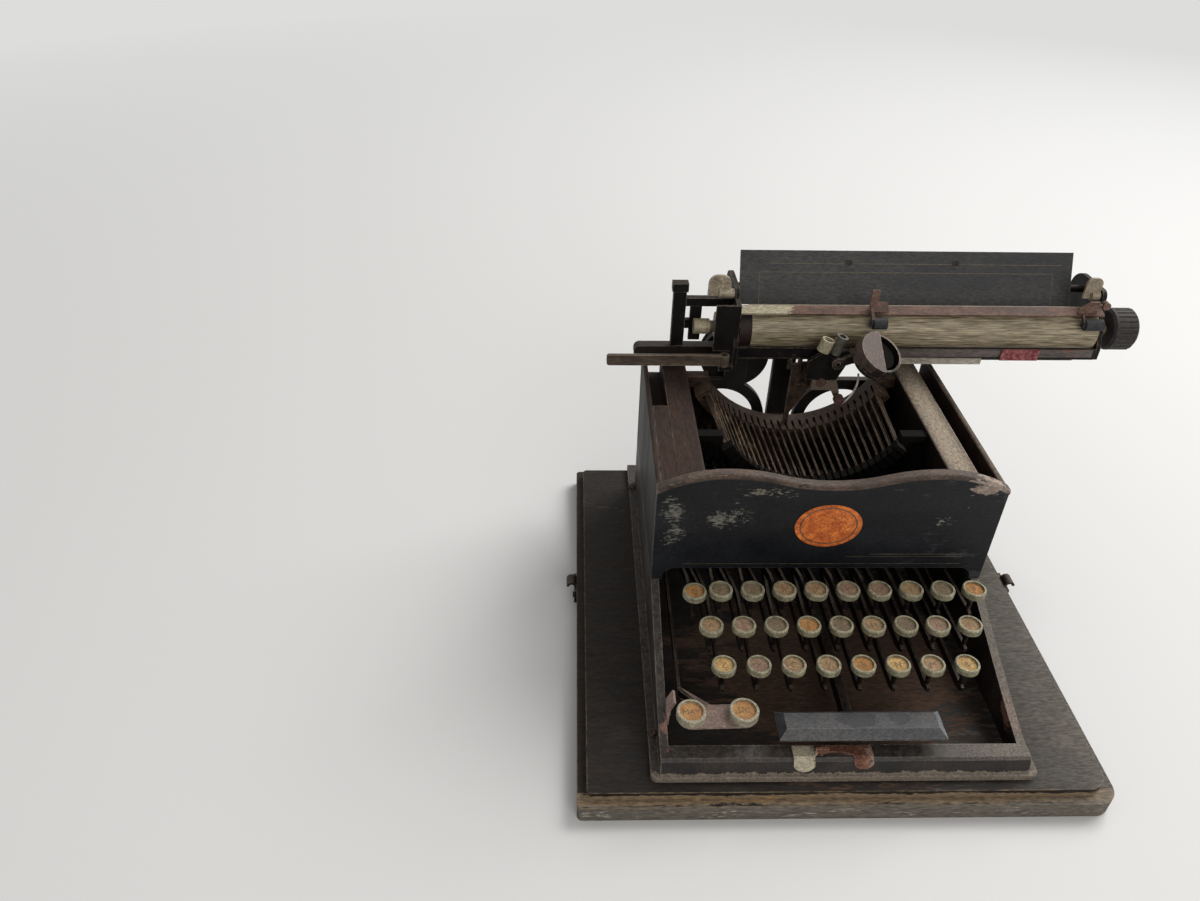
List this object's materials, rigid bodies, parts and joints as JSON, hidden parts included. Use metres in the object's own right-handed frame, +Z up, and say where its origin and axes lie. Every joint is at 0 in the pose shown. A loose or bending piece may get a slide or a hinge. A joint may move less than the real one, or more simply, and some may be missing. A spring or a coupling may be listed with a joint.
{
  "type": "typebar writing machine",
  "caption": "Open-top desk writing machine with three rows of round keys, front-strike typebars in a U-shaped basket, sliding carriage and wooden base board.",
  "frame": {"origin": "centre of the underside of the base board", "axes": "+X to the typist's right, +Y away from the typist, +Z up"},
  "size_m": [0.3938, 0.3106, 0.2115],
  "materials": {
    "stained_wood": "worn dark stain",
    "blued_steel": "dark oxidised",
    "japanned_iron": "worn black japan",
    "japanned_sheet": "black japan",
    "bronzed_steel": "oxidised",
    "rusted_plate": "rusted nickel plate",
    "nickel_plate": "dull nickel plate",
    "black_lacquer": "gloss lacquer",
    "platen_brass": "worn sleeve",
    "brass": "dull",
    "black_rubber": "ribbed hard rubber",
    "key_nickel": "nickel rings, card legends"
  },
  "bodies": {
    "machine_frame": {"base_board": "stained_wood", "board_latches": "blued_steel", "base_casting": "japanned_iron", "side_frame_left": "japanned_iron", "side_frame_right": "japanned_iron", "front_apron": "japanned_iron", "rear_frame": "japanned_iron", "type_segment": "bronzed_steel", "typebars": "bronzed_steel", "type_rest": "blued_steel", "key_fulcrum": "blued_steel", "front_bracket": "rusted_plate", "finger_spring": "rusted_plate", "carriage_rail": "blued_steel", "type_guide": "blued_steel", "inking_bracket": "nickel_plate"},
    "key_top_01": {"key_top_01": "key_nickel"},
    "key_mid_01": {"key_mid_01": "key_nickel"},
    "key_low_01": {"key_low_01": "key_nickel"},
    "key_top_02": {"key_top_02": "key_nickel"},
    "key_mid_02": {"key_mid_02": "key_nickel"},
    "key_low_02": {"key_low_02": "key_nickel"},
    "key_top_03": {"key_top_03": "key_nickel"},
    "key_mid_03": {"key_mid_03": "key_nickel"},
    "key_top_04": {"key_top_04": "key_nickel"},
    "key_low_03": {"key_low_03": "key_nickel"},
    "key_mid_04": {"key_mid_04": "key_nickel"},
    "key_top_05": {"key_top_05": "key_nickel"},
    "key_low_04": {"key_low_04": "key_nickel"},
    "key_mid_05": {"key_mid_05": "key_nickel"},
    "key_top_06": {"key_top_06": "key_nickel"},
    "key_low_05": {"key_low_05": "key_nickel"},
    "key_mid_06": {"key_mid_06": "key_nickel"},
    "key_top_07": {"key_top_07": "key_nickel"},
    "key_low_06": {"key_low_06": "key_nickel"},
    "key_mid_07": {"key_mid_07": "key_nickel"},
    "key_top_08": {"key_top_08": "key_nickel"},
    "key_low_07": {"key_low_07": "key_nickel"},
    "key_mid_08": {"key_mid_08": "key_nickel"},
    "key_top_09": {"key_top_09": "key_nickel"},
    "key_low_08": {"key_low_08": "key_nickel"},
    "key_mid_09": {"key_mid_09": "key_nickel"},
    "key_top_10": {"key_top_10": "key_nickel"},
    "typebar_a": {"typebar_a": "bronzed_steel"},
    "typebar_b": {"typebar_b": "bronzed_steel"},
    "shift_lever": {"shift_lever": "rusted_plate"},
    "space_bar": {"space_bar": "black_lacquer"},
    "carriage": {"carriage_frame": "blued_steel"},
    "platen_frame": {"platen_frame": "blued_steel", "paper_table": "japanned_sheet", "paper_bail": "rusted_plate", "front_scale": "nickel_plate"},
    "platen": {"platen": "platen_brass", "platen_knob": "black_rubber", "ratchet_wheel": "brass"},
    "line_space_lever": {"line_space_lever": "nickel_plate"},
    "paper_finger": {"paper_finger": "rusted_plate"},
    "release_lever": {"release_lever": "nickel_plate"},
    "ink_cup": {"ink_cup": "nickel_plate"},
    "mainspring_drum": {"mainspring_drum": "blued_steel"}
  },
  "joints": [
    {"name": "key_top_01_press", "type": "hinge", "parent": "machine_frame", "child": "key_top_01", "pos_m": [-0.0832, 0.118, 0.045], "axis": [1, 0, 0], "range_deg": [0, 2.7], "stiffness_Nm_per_rad": 6, "springref_deg": -8.59},
    {"name": "key_mid_01_press", "type": "hinge", "parent": "machine_frame", "child": "key_mid_01", "pos_m": [-0.075, 0.118, 0.045], "axis": [1, 0, 0], "range_deg": [0, 2.7], "stiffness_Nm_per_rad": 6, "springref_deg": -8.59},
    {"name": "key_low_01_press", "type": "hinge", "parent": "machine_frame", "child": "key_low_01", "pos_m": [-0.0695, 0.118, 0.045], "axis": [1, 0, 0], "range_deg": [0, 2.7], "stiffness_Nm_per_rad": 6, "springref_deg": -8.59},
    {"name": "key_top_02_press", "type": "hinge", "parent": "machine_frame", "child": "key_top_02", "pos_m": [-0.0678, 0.118, 0.045], "axis": [1, 0, 0], "range_deg": [0, 2.7], "stiffness_Nm_per_rad": 6, "springref_deg": -8.59},
    {"name": "key_mid_02_press", "type": "hinge", "parent": "machine_frame", "child": "key_mid_02", "pos_m": [-0.05595, 0.118, 0.045], "axis": [1, 0, 0], "range_deg": [0, 2.7], "stiffness_Nm_per_rad": 6, "springref_deg": -8.59},
    {"name": "key_low_02_press", "type": "hinge", "parent": "machine_frame", "child": "key_low_02", "pos_m": [-0.0495, 0.118, 0.045], "axis": [1, 0, 0], "range_deg": [0, 2.7], "stiffness_Nm_per_rad": 6, "springref_deg": -8.59},
    {"name": "key_top_03_press", "type": "hinge", "parent": "machine_frame", "child": "key_top_03", "pos_m": [-0.04875, 0.118, 0.045], "axis": [1, 0, 0], "range_deg": [0, 2.7], "stiffness_Nm_per_rad": 6, "springref_deg": -8.59},
    {"name": "key_mid_03_press", "type": "hinge", "parent": "machine_frame", "child": "key_mid_03", "pos_m": [-0.0369, 0.118, 0.045], "axis": [1, 0, 0], "range_deg": [0, 2.7], "stiffness_Nm_per_rad": 6, "springref_deg": -8.59},
    {"name": "key_top_04_press", "type": "hinge", "parent": "machine_frame", "child": "key_top_04", "pos_m": [-0.0297, 0.118, 0.045], "axis": [-1, 0, 0], "range_deg": [-2.7, 0], "stiffness_Nm_per_rad": 6, "springref_deg": 8.59},
    {"name": "key_low_03_press", "type": "hinge", "parent": "machine_frame", "child": "key_low_03", "pos_m": [-0.0295, 0.118, 0.045], "axis": [1, 0, 0], "range_deg": [0, 2.7], "stiffness_Nm_per_rad": 6, "springref_deg": -8.59},
    {"name": "key_mid_04_press", "type": "hinge", "parent": "machine_frame", "child": "key_mid_04", "pos_m": [-0.01785, 0.118, 0.045], "axis": [1, 0, 0], "range_deg": [0, 2.7], "stiffness_Nm_per_rad": 6, "springref_deg": -8.59},
    {"name": "key_top_05_press", "type": "hinge", "parent": "machine_frame", "child": "key_top_05", "pos_m": [-0.01065, 0.118, 0.045], "axis": [1, 0, 0], "range_deg": [0, 2.7], "stiffness_Nm_per_rad": 6, "springref_deg": -8.59},
    {"name": "key_low_04_press", "type": "hinge", "parent": "machine_frame", "child": "key_low_04", "pos_m": [-0.0095, 0.118, 0.045], "axis": [1, 0, 0], "range_deg": [0, 2.7], "stiffness_Nm_per_rad": 6, "springref_deg": -8.59},
    {"name": "key_mid_05_press", "type": "hinge", "parent": "machine_frame", "child": "key_mid_05", "pos_m": [0.0012, 0.118, 0.045], "axis": [1, 0, 0], "range_deg": [0, 2.7], "stiffness_Nm_per_rad": 6, "springref_deg": -8.59},
    {"name": "key_top_06_press", "type": "hinge", "parent": "machine_frame", "child": "key_top_06", "pos_m": [0.0084, 0.118, 0.045], "axis": [1, 0, 0], "range_deg": [0, 2.7], "stiffness_Nm_per_rad": 6, "springref_deg": -8.59},
    {"name": "key_low_05_press", "type": "hinge", "parent": "machine_frame", "child": "key_low_05", "pos_m": [0.0105, 0.118, 0.045], "axis": [1, 0, 0], "range_deg": [0, 2.7], "stiffness_Nm_per_rad": 6, "springref_deg": -8.59},
    {"name": "key_mid_06_press", "type": "hinge", "parent": "machine_frame", "child": "key_mid_06", "pos_m": [0.02025, 0.118, 0.045], "axis": [1, 0, 0], "range_deg": [0, 2.7], "stiffness_Nm_per_rad": 6, "springref_deg": -8.59},
    {"name": "key_top_07_press", "type": "hinge", "parent": "machine_frame", "child": "key_top_07", "pos_m": [0.02745, 0.118, 0.045], "axis": [1, 0, 0], "range_deg": [0, 2.7], "stiffness_Nm_per_rad": 6, "springref_deg": -8.59},
    {"name": "key_low_06_press", "type": "hinge", "parent": "machine_frame", "child": "key_low_06", "pos_m": [0.0305, 0.118, 0.045], "axis": [1, 0, 0], "range_deg": [0, 2.7], "stiffness_Nm_per_rad": 6, "springref_deg": -8.59},
    {"name": "key_mid_07_press", "type": "hinge", "parent": "machine_frame", "child": "key_mid_07", "pos_m": [0.0393, 0.118, 0.045], "axis": [1, 0, 0], "range_deg": [0, 2.7], "stiffness_Nm_per_rad": 6, "springref_deg": -8.59},
    {"name": "key_top_08_press", "type": "hinge", "parent": "machine_frame", "child": "key_top_08", "pos_m": [0.0465, 0.118, 0.045], "axis": [1, 0, 0], "range_deg": [0, 2.7], "stiffness_Nm_per_rad": 6, "springref_deg": -8.59},
    {"name": "key_low_07_press", "type": "hinge", "parent": "machine_frame", "child": "key_low_07", "pos_m": [0.0505, 0.118, 0.045], "axis": [1, 0, 0], "range_deg": [0, 2.7], "stiffness_Nm_per_rad": 6, "springref_deg": -8.59},
    {"name": "key_mid_08_press", "type": "hinge", "parent": "machine_frame", "child": "key_mid_08", "pos_m": [0.05835, 0.118, 0.045], "axis": [1, 0, 0], "range_deg": [0, 2.7], "stiffness_Nm_per_rad": 6, "springref_deg": -8.59},
    {"name": "key_top_09_press", "type": "hinge", "parent": "machine_frame", "child": "key_top_09", "pos_m": [0.06555, 0.118, 0.045], "axis": [1, 0, 0], "range_deg": [0, 2.7], "stiffness_Nm_per_rad": 6, "springref_deg": -8.59},
    {"name": "key_low_08_press", "type": "hinge", "parent": "machine_frame", "child": "key_low_08", "pos_m": [0.0705, 0.118, 0.045], "axis": [1, 0, 0], "range_deg": [0, 2.7], "stiffness_Nm_per_rad": 6, "springref_deg": -8.59},
    {"name": "key_mid_09_press", "type": "hinge", "parent": "machine_frame", "child": "key_mid_09", "pos_m": [0.0774, 0.118, 0.045], "axis": [1, 0, 0], "range_deg": [0, 2.7], "stiffness_Nm_per_rad": 6, "springref_deg": -8.59},
    {"name": "key_top_10_press", "type": "hinge", "parent": "machine_frame", "child": "key_top_10", "pos_m": [0.0846, 0.118, 0.045], "axis": [1, 0, 0], "range_deg": [0, 2.7], "stiffness_Nm_per_rad": 6, "springref_deg": -8.59},
    {"name": "typebar_a_swing", "type": "hinge", "parent": "machine_frame", "child": "typebar_a", "pos_m": [-0.05135, 0.095, 0.11398], "axis": [-0.7314, 0, 0.682], "range_deg": [0, 84]},
    {"name": "typebar_b_swing", "type": "hinge", "parent": "machine_frame", "child": "typebar_b", "pos_m": [-0.02847, 0.095, 0.09954], "axis": [0.9304, 0, -0.3665], "range_deg": [-84, 0]},
    {"name": "carriage_travel", "type": "slide", "parent": "machine_frame", "child": "carriage", "axis": [1, 0, 0], "range_m": [-0.18, 0.01]},
    {"name": "platen_lift", "type": "slide", "parent": "carriage", "child": "platen_frame", "axis": [0, 0, 1], "range_m": [0, 0.006]},
    {"name": "platen_turn", "type": "hinge", "parent": "platen_frame", "child": "platen", "pos_m": [0.085, 0.115, 0.168], "axis": [1, 0, 0], "continuous": true},
    {"name": "line_space_swing", "type": "hinge", "parent": "platen_frame", "child": "line_space_lever", "pos_m": [-0.052, 0.0977, 0.151], "axis": [0, 0, 1], "range_deg": [0, 20], "stiffness_Nm_per_rad": 0.3, "springref_deg": -5.73},
    {"name": "paper_finger_lift", "type": "hinge", "parent": "platen_frame", "child": "paper_finger", "pos_m": [0.051, 0.1098, 0.1886], "axis": [-1, 0, 0], "range_deg": [0, 40]},
    {"name": "release_lever_tilt", "type": "hinge", "parent": "platen_frame", "child": "release_lever", "pos_m": [-0.0472, 0.118, 0.1915], "axis": [1, 0, 0], "range_deg": [0, 25]},
    {"name": "ink_cup_swing", "type": "hinge", "parent": "machine_frame", "child": "ink_cup", "pos_m": [0.0236, 0.0872, 0.155], "axis": [0, 1, 0], "range_deg": [-15, 0]},
    {"name": "drum_turn", "type": "hinge", "parent": "machine_frame", "child": "mainspring_drum", "pos_m": [-0.038, 0.137, 0.134], "axis": [0, 1, 0], "range_deg": [-413, 24]},
    {"name": "shift_press", "type": "hinge", "parent": "machine_frame", "child": "shift_lever", "pos_m": [-0.094, 0.118, 0.045], "axis": [1, 0, 0], "range_deg": [0, 1.95]},
    {"name": "space_press", "type": "hinge", "parent": "machine_frame", "child": "space_bar", "pos_m": [0.005, 0.044, 0.028], "axis": [1, 0, 0], "range_deg": [0, 2.4], "stiffness_Nm_per_rad": 6, "springref_deg": -11.46}
  ],
  "couplings": [
    {"joint": "typebar_a_swing", "follows": "key_top_02_press", "ratio": 31},
    {"joint": "typebar_b_swing", "follows": "key_top_04_press", "ratio": 31},
    {"joint": "drum_turn", "follows": "carriage_travel", "rad_per_m": 40},
    {"joint": "shift_press", "follows": "platen_lift", "rad_per_m": 5.58}
  ]
}
